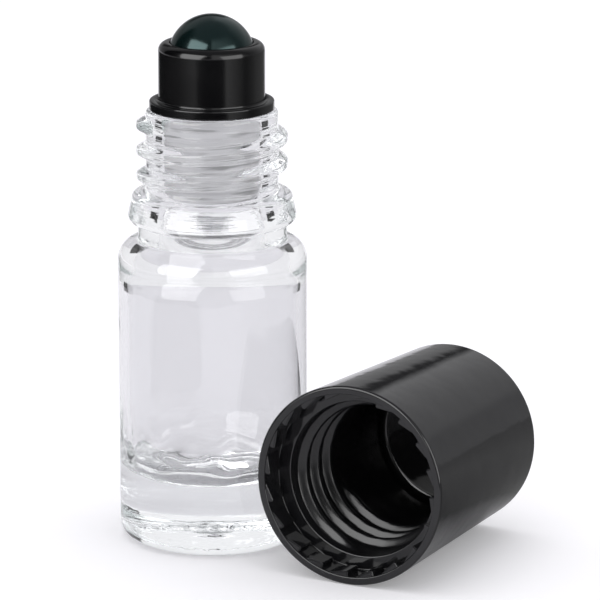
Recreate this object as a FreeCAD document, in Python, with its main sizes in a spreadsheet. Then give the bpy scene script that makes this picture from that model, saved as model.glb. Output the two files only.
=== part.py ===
import FreeCAD, Part
import math
import os
import Sketcher

# Roll on bottle of clear glass with its screw cap taken off and lying on its side beside it.
# Millimetres, +Z up. The origin is the middle of the bottle's base, on the surface it stands on.
# +Y runs along the lying cap, from its mouth to its closed end.

doc = FreeCAD.newDocument("RollOnBottle")

# Driving sizes, each set once
SIZES = [
    # Glass bottle
    ("body_diameter", 22.2, "outside of the glass body"),
    ("wall_thickness", 1.1, "glass of the body's side"),
    ("heel_radius", 2.0, "round between the side and the base"),
    ("rest_ring_width", 2.2, "flat ring that the bottle stands on"),
    ("push_up", 0.9, "height of the dome under the base"),
    ("base_thickness", 7.7, "from the standing surface to the inside floor"),
    ("bowl_radius", 4.8, "round between the inside wall and the floor"),
    ("side_height", 33.8, "where the straight side ends"),
    ("shoulder_rise", 2.4, "height of the rounded shoulder"),
    ("ring_step", 1.0, "how far the ring above the shoulder stands out from the neck"),
    ("ring_height", 1.85, "height of that ring"),
    ("bead_overhang", 1.125, "how far the transfer bead stands out from the ring"),
    ("bead_under_land", 0.225, "flat underside of the bead"),
    ("bead_slope_height", 2.0, "sloping side of the bead"),
    ("bead_slope", 0.42, "how far that side leans in"),
    ("bead_upper_round", 0.7, "upper edge of the bead"),
    ("neck_diameter", 15.5, "neck between the thread's turns"),
    ("neck_height", 8.8, "straight part of the neck, which carries the thread"),
    ("thread_height", 1.1, "how far the thread stands out from the neck"),
    ("neck_bore", 11.4, "bore of the neck"),
    ("neck_bore_length", 12.45, "straight part of that bore"),
    ("neck_flare_height", 9.5, "where the bore widens to the inside of the body"),
    ("neck_flare_round", 4.0, "round at the top of that flare"),
    ("lip_round", 0.5, "edges of the glass lip"),
    # Ball and its cage
    ("ball_diameter", 10.3, "glass ball"),
    ("ball_play", 0.1, "gap between the ball and what holds it"),
    ("seat_floor", 0.8, "height of the ball's hollow above the glass lip"),
    ("cage_wall", 0.975, "wall of the cage round the ball"),
    ("cage_grip", 1.9, "how far the cage closes over the ball's middle"),
    ("cage_lip_land", 0.33, "flat rim round the cage's mouth"),
    ("cage_root_round", 0.3, "round between the cage and its flange"),
    ("flange_width", 1.075, "how far the flange stands out from the cage"),
    ("flange_thickness", 1.15, "thickness of the flange"),
    ("flange_edge", 0.2, "rounded edge of the flange"),
    # Plug
    ("plug_play", 0.05, "gap between the plug and what it is pressed into"),
    ("plug_length", 11.2, "plug below the glass lip"),
    ("plug_wall", 0.65, "wall of the plug between its ribs"),
    ("plug_lead_in", 0.25, "bevel at the plug's lower end"),
    ("seat_angle", 63.5, "reach of the seat under the ball, in degrees from straight down"),
    ("seat_web", 0.8, "thickness of the cup under the ball"),
    ("feed_hole", 2.5, "hole in the middle of that cup"),
    ("rib_height", 0.15, "how far each sealing rib stands out"),
    ("rib_width", 0.9, "width of a sealing rib"),
    ("rib_count", 3, "sealing ribs"),
    ("rib_span", 6.4, "from the first sealing rib to the last"),
    ("first_rib", 1.6, "first rib below the glass lip"),
    ("slot_count", 4, "slots that wet the ball"),
    ("slot_width", 1.0, "width of such a slot"),
    ("slot_length", 1.0, "length of a slot, outwards from the feed hole"),
    ("slot_drop", 0.2, "floor of a slot below the seat's inner edge"),
    # Screw cap
    ("cap_bead_play", 0.225, "gap between the bead and the cap's teeth"),
    ("cap_rim_wall", 0.95, "wall at the mouth"),
    ("cap_draft", 0.8, "how far the outside leans in towards the closed end"),
    ("cap_mouth_drop", 0.4, "mouth below the bead when the cap is on"),
    ("cap_headroom", 2.1, "ceiling above the ball when the cap is on"),
    ("cap_ceiling", 1.5, "thickness of the closed end"),
    ("cap_rim_edge", 0.3, "rounded outer edge of the mouth"),
    ("cap_top_edge", 0.9, "rounded edge of the closed end"),
    ("cap_skirt_depth", 3.6, "wide part of the mouth, which goes over the bead"),
    ("cap_thread_play", 0.3, "gap between the neck's thread and the cap's bore"),
    ("cap_bore_draft", 0.45, "how far the bore leans in towards the ceiling"),
    ("cap_ceiling_round", 0.8, "inner corner at the ceiling"),
    ("seal_ring_diameter", 7.0, "ring under the ceiling that holds the ball down"),
    ("seal_ring_wall", 0.9, "wall of that ring"),
    ("seal_play", 0.05, "gap between that ring and the ball when the cap is on"),
    ("tooth_count", 20, "ratchet teeth in the mouth"),
    ("tooth_share", 0.9, "share of the pitch that a tooth's long flank takes"),
    ("tooth_height", 0.65, "how far a tooth stands in"),
    ("tooth_length", 2.9, "length of a tooth along the cap"),
    ("tooth_setback", 0.15, "from the mouth to the teeth"),
    ("tooth_root", 0.3, "how deep a tooth is rooted in the wall"),
    # Place of the cap
    ("cap_gap", 0.4, "least gap between the lying cap and the bottle"),
    ("cap_mouth_y", -11.0, "place of the cap's mouth along Y"),
]

# Places worked out from the sizes
PLACES = [
    # Glass bottle
    ("body_r", "Sizes.body_diameter / 2"),
    ("rest_out_r", "body_r - Sizes.heel_radius"),
    ("rest_in_r", "rest_out_r - Sizes.rest_ring_width"),
    ("dome_r", "(rest_in_r ^ 2 + Sizes.push_up ^ 2) / (2 * Sizes.push_up)"),
    ("neck_r", "Sizes.neck_diameter / 2"),
    ("ring_r", "neck_r + Sizes.ring_step"),
    ("shoulder_run", "body_r - ring_r"),
    ("shoulder_r", "(shoulder_run ^ 2 + Sizes.shoulder_rise ^ 2) / (2 * shoulder_run)"),
    ("shoulder_z", "Sizes.side_height + Sizes.shoulder_rise"),
    ("bead_low_z", "shoulder_z + Sizes.ring_height"),
    ("bead_r", "ring_r + Sizes.bead_overhang"),
    ("bead_under_r", "ring_r + Sizes.bead_under_land"),
    ("bead_lower_round", "Sizes.bead_overhang - Sizes.bead_under_land"),
    ("bead_wide_z", "bead_low_z + bead_lower_round"),
    ("bead_slope_z", "bead_wide_z + Sizes.bead_slope_height"),
    ("bead_slope_r", "bead_r - Sizes.bead_slope"),
    ("bead_top_z", "bead_slope_z + Sizes.bead_upper_round"),
    ("bead_top_r", "bead_slope_r - Sizes.bead_upper_round"),
    ("neck_round", "bead_top_r - neck_r"),
    ("neck_low_z", "bead_top_z + neck_round"),
    ("lip_z", "neck_low_z + Sizes.neck_height"),
    ("lip_edge_z", "lip_z - Sizes.lip_round"),
    ("lip_out_r", "neck_r - Sizes.lip_round"),
    ("bore_r", "Sizes.neck_bore / 2"),
    ("lip_in_r", "bore_r + Sizes.lip_round"),
    ("plug_low_z", "lip_z - Sizes.plug_length"),
    ("flare_top_z", "lip_z - Sizes.neck_bore_length"),
    ("flare_low_z", "flare_top_z - Sizes.neck_flare_height"),
    ("cavity_r", "body_r - Sizes.wall_thickness"),
    ("flare_run", "cavity_r - bore_r"),
    ("flare_rounds", "(flare_run ^ 2 + Sizes.neck_flare_height ^ 2) / (2 * flare_run)"),
    ("flare_share", "Sizes.neck_flare_round / flare_rounds"),
    ("flare_mid_r", "bore_r + flare_share * flare_run"),
    ("flare_mid_z", "flare_top_z - flare_share * Sizes.neck_flare_height"),
    ("flare_low_round", "flare_rounds - Sizes.neck_flare_round"),
    ("bowl_edge_z", "Sizes.base_thickness + Sizes.bowl_radius"),
    ("floor_r", "cavity_r - Sizes.bowl_radius"),
    # Ball and its cage
    ("ball_r", "Sizes.ball_diameter / 2"),
    ("socket_r", "ball_r + Sizes.ball_play"),
    ("ball_z", "lip_z + Sizes.seat_floor + socket_r"),
    ("cage_r", "socket_r + Sizes.cage_wall"),
    ("cage_mouth_r", "sqrt(socket_r ^ 2 - Sizes.cage_grip ^ 2)"),
    ("cage_crown_r", "cage_mouth_r + Sizes.cage_lip_land"),
    ("cage_crown_round", "cage_r - cage_crown_r"),
    ("cage_top_z", "ball_z + Sizes.cage_grip"),
    ("cage_crown_z", "cage_top_z - cage_crown_round"),
    ("flange_r", "cage_r + Sizes.flange_width"),
    ("flange_edge_r", "flange_r - Sizes.flange_edge"),
    ("flange_low_z", "lip_z + Sizes.flange_edge"),
    ("flange_top_z", "lip_z + Sizes.flange_thickness"),
    ("flange_high_z", "flange_top_z - Sizes.flange_edge"),
    ("cage_root_r", "cage_r + Sizes.cage_root_round"),
    ("cage_root_z", "flange_top_z + Sizes.cage_root_round"),
    # Plug
    ("rib_r", "bore_r - Sizes.plug_play"),
    ("plug_r", "rib_r - Sizes.rib_height"),
    ("passage_r", "plug_r - Sizes.plug_wall"),
    ("plug_bevel_z", "plug_low_z + Sizes.plug_lead_in"),
    ("plug_bevel_r", "plug_r - Sizes.plug_lead_in"),
    ("feed_r", "Sizes.feed_hole / 2"),
    ("cup_r", "socket_r + Sizes.seat_web"),
    ("cup_edge_z", "ball_z - sqrt(cup_r ^ 2 - passage_r ^ 2)"),
    ("cup_low_z", "ball_z - sqrt(cup_r ^ 2 - feed_r ^ 2)"),
    ("seat_r", "socket_r * sin(Sizes.seat_angle)"),
    ("seat_low_z", "ball_z - sqrt(socket_r ^ 2 - feed_r ^ 2)"),
    ("head_top_z", "ball_z - socket_r * cos(Sizes.seat_angle)"),
    ("head_bore_r", "plug_r + Sizes.plug_play"),
    ("rib_root_r", "(plug_r + passage_r) / 2"),
    ("rib_top_z", "lip_z - Sizes.first_rib"),
    ("rib_low_z", "rib_top_z - Sizes.rib_width"),
    ("rib_crest_r", "(Sizes.rib_width ^ 2 / 4 + Sizes.rib_height ^ 2) / (2 * Sizes.rib_height)"),
    ("slot_reach", "feed_r + Sizes.slot_length"),
    ("slot_low_z", "seat_low_z - Sizes.slot_drop"),
    # Screw cap
    ("tooth_tip_r", "bead_r + Sizes.cap_bead_play"),
    ("cap_rim_r", "tooth_tip_r + Sizes.tooth_height"),
    ("cap_mouth_r", "cap_rim_r + Sizes.cap_rim_wall"),
    ("cap_height", "ball_z + ball_r + Sizes.cap_headroom + Sizes.cap_ceiling - bead_low_z + Sizes.cap_mouth_drop"),
    ("cap_taper", "Sizes.cap_draft / cap_height"),
    ("cap_rim_edge_r", "cap_mouth_r - Sizes.cap_rim_edge"),
    ("cap_side_low_r", "cap_mouth_r - cap_taper * Sizes.cap_rim_edge"),
    ("cap_side_top_z", "cap_height - Sizes.cap_top_edge"),
    ("cap_side_top_r", "cap_mouth_r - cap_taper * cap_side_top_z"),
    ("cap_top_edge_r", "cap_side_top_r - Sizes.cap_top_edge"),
    ("cap_ceiling_z", "cap_height - Sizes.cap_ceiling"),
    ("cap_bore_r", "neck_r + Sizes.thread_height + Sizes.cap_thread_play"),
    ("cap_bore_top_r", "cap_bore_r - Sizes.cap_bore_draft"),
    ("cap_bore_top_z", "cap_ceiling_z - Sizes.cap_ceiling_round"),
    ("cap_ceiling_r", "cap_bore_top_r - Sizes.cap_ceiling_round"),
    ("seal_out_r", "Sizes.seal_ring_diameter / 2"),
    ("seal_in_r", "seal_out_r - Sizes.seal_ring_wall"),
    ("ball_drop", "ball_r - sqrt(ball_r ^ 2 - seal_in_r ^ 2)"),
    ("seal_end_z", "cap_ceiling_z - Sizes.cap_headroom - ball_drop + Sizes.seal_play"),
    ("tooth_root_r", "cap_rim_r + Sizes.tooth_root"),
    ("tooth_sweep", "Sizes.tooth_share * 360 / Sizes.tooth_count"),
    ("tooth_back_x", "tooth_root_r * cos(tooth_sweep)"),
    ("tooth_back_y", "tooth_root_r * sin(tooth_sweep)"),
    # Place of the cap
    ("cap_x", "body_r + Sizes.cap_gap + cap_mouth_r"),
    ("cap_z", "cap_mouth_r / sqrt(1 + cap_taper ^ 2)"),
    ("cap_lean", "atan(cap_taper) / 1deg"),
]


def fill_sheet(name, rows):
    """Adds a sheet with one named cell a row: the name, the value or formula, and what it is."""
    sheet = doc.addObject("Spreadsheet::Sheet", name)
    for row, (alias, content, note) in enumerate(rows, start=1):
        sheet.set(f"A{row}", alias)
        sheet.set(f"B{row}", content)
        sheet.set(f"C{row}", note)
        sheet.setAlias(f"B{row}", alias)
    doc.recompute()
    return sheet


sizes = fill_sheet("Sizes", [(alias, str(number), note) for alias, number, note in SIZES])
places = fill_sheet("Places", [(alias, f"={formula}", "worked out") for alias, formula in PLACES])
SIZE_NAMES = {alias for alias, number, note in SIZES}


def cell(name):
    """The expression that reads a named size or place."""
    return f"Sizes.{name}" if name in SIZE_NAMES else f"Places.{name}"


def value(name):
    """The number in a named cell; zero is the axis or the ground line of a sketch."""
    if name == "zero":
        return 0.0
    return float(getattr(sizes if name in SIZE_NAMES else places, name))


def arc_between(start, end, radius, turn):
    """The short arc of a given radius from start to end, turning left or right on the way."""
    chord = end - start
    height = math.sqrt(max(radius * radius - chord.Length * chord.Length / 4, 0.0))
    left = FreeCAD.Vector(-chord.y, chord.x, 0) / chord.Length
    centre = (start + end) / 2 + left * (height if turn == "left" else -height)
    first, last = (start, end) if turn == "left" else (end, start)
    circle = Part.Circle(centre, FreeCAD.Vector(0, 0, 1), radius)
    return Part.ArcOfCircle(circle, circle.parameter(first), circle.parameter(last))


def pin_corner(sketch, side, end, axis_id, kind, name):
    """Ties one coordinate of a corner to its named cell, or to an axis of the sketch."""
    if name == "zero":
        sketch.addConstraint(Sketcher.Constraint("PointOnObject", side, end, axis_id))
        return
    index = sketch.addConstraint(Sketcher.Constraint(kind, -1, 1, side, end, value(name)))
    sketch.setExpression(f"Constraints[{index}]", cell(name))


def new_sketch(body, name, plane_role, corners):
    """A closed outline on one of the body's own planes.

    Each corner names its two coordinates and the side that leaves it: None for a straight one, or
    the way an arc turns and the name of its radius.
    """
    sketch = body.newObject("Sketcher::SketchObject", name)
    plane = next(item for item in body.Origin.OriginFeatures if item.Role == plane_role)
    sketch.AttachmentSupport = [(plane, "")]
    sketch.MapMode = "FlatFace"
    points = [FreeCAD.Vector(value(across), value(along), 0) for across, along, bend in corners]
    ends = []
    for index, (across, along, bend) in enumerate(corners):
        start = points[index]
        end = points[(index + 1) % len(points)]
        if bend is None:
            sketch.addGeometry(Part.LineSegment(start, end))
            ends.append((1, 2))
        else:
            turn, radius = bend
            sketch.addGeometry(arc_between(start, end, value(radius), turn))
            ends.append((1, 2) if turn == "left" else (2, 1))
    for index in range(len(corners)):
        following = (index + 1) % len(corners)
        joint = Sketcher.Constraint("Coincident", index, ends[index][1], following, ends[following][0])
        sketch.addConstraint(joint)
    for index, (across, along, bend) in enumerate(corners):
        pin_corner(sketch, index, ends[index][0], -2, "DistanceX", across)
        pin_corner(sketch, index, ends[index][0], -1, "DistanceY", along)
        if bend is not None:
            radius = sketch.addConstraint(Sketcher.Constraint("Radius", index, value(bend[1])))
            sketch.setExpression(f"Constraints[{radius}]", cell(bend[1]))
    return sketch


def turned_body(label, corners):
    """A body turned about its own Z axis from half of its section."""
    body = doc.addObject("PartDesign::Body", label)
    body.Label = label
    section = new_sketch(body, f"{label}_section", "XZ_Plane", corners)
    turned = body.newObject("PartDesign::Revolution", f"{label}_turned")
    turned.Profile = section
    turned.ReferenceAxis = (section, ["V_Axis"])
    turned.Angle = 360
    section.Visibility = False
    doc.recompute()
    return body


def repeat_round(body, feature, count_name):
    """Repeats a feature round the body's Z axis."""
    pattern = body.newObject("PartDesign::PolarPattern", f"{feature.Name}_round")
    axis = next(item for item in body.Origin.OriginFeatures if item.Role == "Z_Axis")
    pattern.Originals = [feature]
    pattern.Axis = (axis, [""])
    pattern.Angle = 360
    pattern.setExpression("Occurrences", cell(count_name))
    body.Tip = pattern
    doc.recompute()
    return pattern


# Glass bottle: base, side, shoulder, bead and neck outside, then bore, flare and bowl inside
glass_bottle = turned_body("glass_bottle", [
    ("zero", "push_up", ("right", "dome_r")),
    ("rest_in_r", "zero", None),
    ("rest_out_r", "zero", ("left", "heel_radius")),
    ("body_r", "heel_radius", None),
    ("body_r", "side_height", ("left", "shoulder_r")),
    ("ring_r", "shoulder_z", None),
    ("ring_r", "bead_low_z", None),
    ("bead_under_r", "bead_low_z", ("left", "bead_lower_round")),
    ("bead_r", "bead_wide_z", None),
    ("bead_slope_r", "bead_slope_z", ("left", "bead_upper_round")),
    ("bead_top_r", "bead_top_z", ("right", "neck_round")),
    ("neck_r", "neck_low_z", None),
    ("neck_r", "lip_edge_z", ("left", "lip_round")),
    ("lip_out_r", "lip_z", None),
    ("lip_in_r", "lip_z", ("left", "lip_round")),
    ("bore_r", "lip_edge_z", None),
    ("bore_r", "flare_top_z", ("left", "neck_flare_round")),
    ("flare_mid_r", "flare_mid_z", ("right", "flare_low_round")),
    ("cavity_r", "flare_low_z", None),
    ("cavity_r", "bowl_edge_z", ("right", "bowl_radius")),
    ("floor_r", "base_thickness", None),
    ("zero", "base_thickness", None),
])

# Ball cage: flange on the glass lip, tube round the plug's head, the step that the head bears up
# against, and the mouth that closes over the ball
ball_cage = turned_body("ball_cage", [
    ("head_bore_r", "lip_z", None),
    ("flange_edge_r", "lip_z", ("left", "flange_edge")),
    ("flange_r", "flange_low_z", None),
    ("flange_r", "flange_high_z", ("left", "flange_edge")),
    ("flange_edge_r", "flange_top_z", None),
    ("cage_root_r", "flange_top_z", ("right", "cage_root_round")),
    ("cage_r", "cage_root_z", None),
    ("cage_r", "cage_crown_z", ("left", "cage_crown_round")),
    ("cage_crown_r", "cage_top_z", None),
    ("cage_mouth_r", "cage_top_z", ("right", "socket_r")),
    ("socket_r", "ball_z", None),
    ("socket_r", "head_top_z", None),
    ("head_bore_r", "head_top_z", None),
])

# Plug: a tube pressed into the neck, with its head inside the cage and a thin cup under the ball
plug_insert = turned_body("plug_insert", [
    ("passage_r", "plug_low_z", None),
    ("plug_bevel_r", "plug_low_z", None),
    ("plug_r", "plug_bevel_z", None),
    ("plug_r", "head_top_z", None),
    ("seat_r", "head_top_z", ("right", "socket_r")),
    ("feed_r", "seat_low_z", None),
    ("feed_r", "cup_low_z", ("left", "cup_r")),
    ("passage_r", "cup_edge_z", None),
])

# Sealing ribs round the plug, each a low round bulge
rib_section = new_sketch(plug_insert, "rib_section", "XZ_Plane", [
    ("rib_root_r", "rib_low_z", None),
    ("plug_r", "rib_low_z", ("left", "rib_crest_r")),
    ("plug_r", "rib_top_z", None),
    ("rib_root_r", "rib_top_z", None),
])
rib = plug_insert.newObject("PartDesign::Revolution", "sealing_rib")
rib.Profile = rib_section
rib.ReferenceAxis = (rib_section, ["V_Axis"])
rib.Angle = 360
doc.recompute()
ribs = plug_insert.newObject("PartDesign::LinearPattern", "sealing_ribs")
ribs.Originals = [rib]
ribs.Direction = (rib_section, ["V_Axis"])
ribs.Reversed = True
ribs.setExpression("Length", cell("rib_span"))
ribs.setExpression("Occurrences", cell("rib_count"))
plug_insert.Tip = ribs
doc.recompute()

# Slots across the seat, which let the liquid wet the ball
volume_before_slots = plug_insert.Shape.Volume
slot_section = new_sketch(plug_insert, "slot_section", "XZ_Plane", [
    ("zero", "slot_low_z", None),
    ("slot_reach", "slot_low_z", None),
    ("slot_reach", "head_top_z", None),
    ("zero", "head_top_z", None),
])
slot = plug_insert.newObject("PartDesign::Pocket", "seat_slot")
slot.Profile = slot_section
slot.SideType = "Symmetric"
slot.setExpression("Length", cell("slot_width"))
repeat_round(plug_insert, slot, "slot_count")
if plug_insert.Shape.Volume >= volume_before_slots:
    raise RuntimeError("the seat's slots cut nothing")

# Ball, trapped between the seat and the cage's mouth
roller_ball = doc.addObject("Part::Sphere", "roller_ball")
roller_ball.Label = "roller_ball"
roller_ball.setExpression("Radius", cell("ball_r"))
roller_ball.setExpression("Placement.Base.z", cell("ball_z"))

# Screw cap, drawn mouth down on its own axis: tapered skirt, closed end, seal ring, bore and wide mouth
screw_cap = turned_body("screw_cap", [
    ("cap_rim_r", "zero", None),
    ("cap_rim_edge_r", "zero", ("left", "cap_rim_edge")),
    ("cap_side_low_r", "cap_rim_edge", None),
    ("cap_side_top_r", "cap_side_top_z", ("left", "cap_top_edge")),
    ("cap_top_edge_r", "cap_height", None),
    ("zero", "cap_height", None),
    ("zero", "cap_ceiling_z", None),
    ("seal_in_r", "cap_ceiling_z", None),
    ("seal_in_r", "seal_end_z", None),
    ("seal_out_r", "seal_end_z", None),
    ("seal_out_r", "cap_ceiling_z", None),
    ("cap_ceiling_r", "cap_ceiling_z", ("right", "cap_ceiling_round")),
    ("cap_bore_top_r", "cap_bore_top_z", None),
    ("cap_bore_r", "cap_skirt_depth", None),
    ("cap_rim_r", "cap_skirt_depth", None),
])

# Ratchet teeth just inside the mouth: a short flank that stops and a long one that slides
volume_before_teeth = screw_cap.Shape.Volume
tooth_section = new_sketch(screw_cap, "tooth_section", "XY_Plane", [
    ("tooth_tip_r", "zero", None),
    ("tooth_root_r", "zero", None),
    ("tooth_back_x", "tooth_back_y", None),
])
tooth_section.setExpression("AttachmentOffset.Base.z", cell("tooth_setback"))
tooth = screw_cap.newObject("PartDesign::Pad", "ratchet_tooth")
tooth.Profile = tooth_section
tooth.setExpression("Length", cell("tooth_length"))
repeat_round(screw_cap, tooth, "tooth_count")
if screw_cap.Shape.Volume <= volume_before_teeth:
    raise RuntimeError("the ratchet teeth add nothing")

# The cap lies on its side along Y, on the line where its tapered skirt meets the ground
MOUTH_DOWN_TO_LYING = FreeCAD.Rotation(FreeCAD.Vector(-1, 0, 0), 90)
screw_cap.Placement = FreeCAD.Placement(FreeCAD.Vector(0, 0, 0), MOUTH_DOWN_TO_LYING)
screw_cap.setExpression("Placement.Base.x", cell("cap_x"))
screw_cap.setExpression("Placement.Base.y", cell("cap_mouth_y"))
screw_cap.setExpression("Placement.Base.z", cell("cap_z"))
screw_cap.setExpression("Placement.Rotation.Angle", f"90 + {cell('cap_lean')}")

doc.recompute()
for item in doc.Objects:
    if "Invalid" in item.State or "Error" in item.State:
        raise RuntimeError(f"{item.Label} failed: {item.State}")

PARTS = [glass_bottle, ball_cage, plug_insert, roller_ball, screw_cap]
for part in PARTS:
    if part.Shape.isNull() or not part.Shape.isValid() or len(part.Shape.Solids) != 1:
        raise RuntimeError(f"{part.Label} is not one sound solid")

os.makedirs("parts", exist_ok=True)
for part in PARTS:
    part.Shape.exportStep(f"parts/{part.Label}.step")
    box = part.Shape.optimalBoundingBox(False)
    low = f"{box.XMin:.2f}, {box.YMin:.2f}, {box.ZMin:.2f}"
    high = f"{box.XMax:.2f}, {box.YMax:.2f}, {box.ZMax:.2f}"
    print(f"{part.Label}: {part.Shape.Volume:.1f} mm3, from ({low}) to ({high})")
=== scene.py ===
"""Roll-on bottle of clear glass with its screw cap lying beside it, dressed on the packed frame."""

import math

import bmesh
import bpy
from mathutils import Matrix, Vector, noise


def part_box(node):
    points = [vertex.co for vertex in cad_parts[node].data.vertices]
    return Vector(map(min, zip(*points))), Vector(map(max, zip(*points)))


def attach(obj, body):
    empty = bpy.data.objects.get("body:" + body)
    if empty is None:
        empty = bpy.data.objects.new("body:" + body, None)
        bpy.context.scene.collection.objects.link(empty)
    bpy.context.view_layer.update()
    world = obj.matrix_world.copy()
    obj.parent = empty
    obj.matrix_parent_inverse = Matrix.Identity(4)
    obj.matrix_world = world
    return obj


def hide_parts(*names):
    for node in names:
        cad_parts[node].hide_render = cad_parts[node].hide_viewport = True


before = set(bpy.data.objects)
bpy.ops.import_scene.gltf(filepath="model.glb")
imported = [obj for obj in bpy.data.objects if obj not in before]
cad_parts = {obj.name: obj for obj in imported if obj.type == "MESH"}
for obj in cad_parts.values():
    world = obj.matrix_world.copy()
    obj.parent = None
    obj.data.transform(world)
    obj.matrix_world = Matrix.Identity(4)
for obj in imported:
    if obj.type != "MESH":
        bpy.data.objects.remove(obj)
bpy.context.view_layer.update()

bl_info = {
    "name": "Roll-on bottle",
    "version": (1, 0, 0),
    "blender": (4, 5, 0),
    "location": "View3D > Sidebar > Roll-on",
    "description": "Builds a glass roll-on bottle, its ball fitment and its screw cap on a packed frame",
    "category": "Object",
}

MM = 0.001
THREAD_BAND = "thread_band"
AROUND = 256

# What the frame says, in millimetres
GLASS_HIGH = Vector(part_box("glass_bottle")[1]) / MM
BALL_LOW = Vector(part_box("roller_ball")[0]) / MM
BALL_HIGH = Vector(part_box("roller_ball")[1]) / MM
CAGE_HIGH = Vector(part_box("ball_cage")[1]) / MM
CAP_LOW = Vector(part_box("screw_cap")[0]) / MM
CAP_HIGH = Vector(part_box("screw_cap")[1]) / MM
BODY_R = GLASS_HIGH.x
LIP_Z = GLASS_HIGH.z
BALL_R = (BALL_HIGH.z - BALL_LOW.z) / 2
BALL_Z = (BALL_HIGH.z + BALL_LOW.z) / 2
FLANGE_R = CAGE_HIGH.x
CAGE_TOP_Z = CAGE_HIGH.z
CAP_MOUTH_R = (CAP_HIGH.x - CAP_LOW.x) / 2
CAP_X = (CAP_HIGH.x + CAP_LOW.x) / 2

# Sizes that pieces share, in millimetres
BORE_LENGTH = 11.2
BALL_PLAY = 0.1
SOCKET_R = BALL_R + BALL_PLAY
SEAT_ANGLE = math.radians(63.5)
SEAT_Z = BALL_Z - SOCKET_R * math.cos(SEAT_ANGLE)


def linear(code):
    """A colour written as sRGB hex, in linear light with full alpha."""
    parts = [int(code[i:i + 2], 16) / 255 for i in (1, 3, 5)]
    return tuple(c / 12.92 if c <= 0.04045 else ((c + 0.055) / 1.055) ** 2.4 for c in parts) + (1.0,)


def shaded(colour, level=1.0):
    """A linear colour made darker or lighter, with full alpha."""
    return tuple(c * level for c in colour) + (1.0,)


def grey(level, blue=1.0):
    """A linear grey with full alpha, with a little more or less blue in it."""
    return (level, level, level * blue, 1.0)


def add_node(tree, kind, sockets=None, **settings):
    """Adds a node. Each socket gets the number, colour or other node's output that it is given."""
    node = tree.nodes.new(kind)
    for name, setting in settings.items():
        setattr(node, name, setting)
    for name, content in (sockets or {}).items():
        if isinstance(content, bpy.types.NodeSocket):
            tree.links.new(content, node.inputs[name])
        else:
            node.inputs[name].default_value = content
    return node


# Turned shapes

def arc_points(start, end, radius):
    """Points of the short arc from start to end; a positive radius turns left on the way."""
    sweep_step = 7.5
    chord = end - start
    height = math.sqrt(max(radius * radius - chord.length_squared / 4, 0.0))
    left = Vector((-chord.y, chord.x)).normalized()
    centre = (start + end) / 2 + left * (height if radius > 0 else -height)
    first = math.atan2(start.y - centre.y, start.x - centre.x)
    last = math.atan2(end.y - centre.y, end.x - centre.x)
    turn = math.remainder(last - first, 2 * math.pi)
    count = max(3, math.ceil(abs(math.degrees(turn)) / sweep_step))
    reach = abs(radius)
    angles = [first + turn * i / count for i in range(count)]
    return [centre + reach * Vector((math.cos(a), math.sin(a))) for a in angles]


def straight_points(start, end, step):
    """Points of a straight side, with one close to each end so that smooth shading stays on the edge."""
    length = (end - start).length
    hold = min(0.12, length / 4)
    count = max(1, math.ceil((length - 2 * hold) / step))
    ways = [0.0] + [hold + (length - 2 * hold) * i / count for i in range(count + 1)]
    return [start.lerp(end, way / length) for way in ways]


def section_points(corners, step=2.5):
    """Fills in a closed section. A corner is across, along, the radius of the arc that leaves it or None,
    and its own step where it has one. Nothing is filled in along the axis."""
    points = []
    for corner, following in zip(corners, corners[1:] + corners[:1]):
        radius = corner[2]
        start, end = Vector(corner[:2]), Vector(following[:2])
        if start.x == 0 and end.x == 0:
            points.append(start)
        elif radius is None:
            points += straight_points(start, end, corner[3] if len(corner) > 3 else step)
        else:
            points += arc_points(start, end, radius)
    return points


def turned_mesh(name, points, around, shift=None):
    """A closed mesh turned about Z from section points in millimetres.

    A shift gives how far a point moves outwards and up, from its place and its number in the section.
    """
    mesh = bpy.data.meshes.new(name)
    build = bmesh.new()
    rows = []
    for number, point in enumerate(points):
        if point.x == 0:
            rows.append([build.verts.new((0, 0, point.y * MM))])
            continue
        row = []
        for i in range(around):
            angle = 2 * math.pi * i / around
            out = Vector((math.cos(angle), math.sin(angle), 0))
            place = out * point.x + Vector((0, 0, point.y))
            if shift:
                outwards, up = shift(place, number)
                place += out * outwards + Vector((0, 0, up))
            row.append(build.verts.new(place * MM))
        rows.append(row)
    for low, high in zip(rows, rows[1:] + rows[:1]):
        if len(low) == 1 and len(high) == 1:
            continue
        for i in range(around):
            j = (i + 1) % around
            loop = [low[i % len(low)], low[j % len(low)], high[j % len(high)], high[i % len(high)]]
            build.faces.new(list(dict.fromkeys(loop)))
    bmesh.ops.recalc_face_normals(build, faces=build.faces)
    build.to_mesh(mesh)
    build.free()
    mesh.shade_smooth()
    return mesh


def add_piece(name, mesh, body, material, node=None):
    """Puts a finished mesh in the scene as a piece of the object that rides on a body of the frame."""
    piece = bpy.data.objects.new(name, mesh)
    bpy.context.collection.objects.link(piece)
    mesh.materials.clear()
    mesh.materials.append(material)
    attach(piece, body)
    if node:
        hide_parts(node)


def mark_band(mesh, test):
    """Marks the points that a test picks, in millimetres, for the thread's tree and finish to read."""
    band = mesh.attributes.new(THREAD_BAND, "FLOAT", "POINT")
    for vertex, mark in zip(mesh.vertices, band.data):
        mark.value = 1.0 if test(vertex.co / MM) else 0.0


def grown(name, mesh, tree, inputs):
    """Runs a Geometry Nodes tree on a mesh, with inputs given by name, and returns the plain result."""
    carrier = bpy.data.objects.new(name, mesh)
    bpy.context.collection.objects.link(carrier)
    modifier = carrier.modifiers.new(name, "NODES")
    modifier.node_group = tree
    for item in tree.interface.items_tree:
        if item.in_out == "INPUT" and item.name in inputs:
            modifier[item.identifier] = inputs[item.name]
    bpy.context.view_layer.update()
    graph = bpy.context.evaluated_depsgraph_get()
    result = bpy.data.meshes.new_from_object(carrier.evaluated_get(graph))
    carrier.modifiers.remove(modifier)
    bpy.data.objects.remove(carrier)
    result.shade_smooth()
    return result


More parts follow.
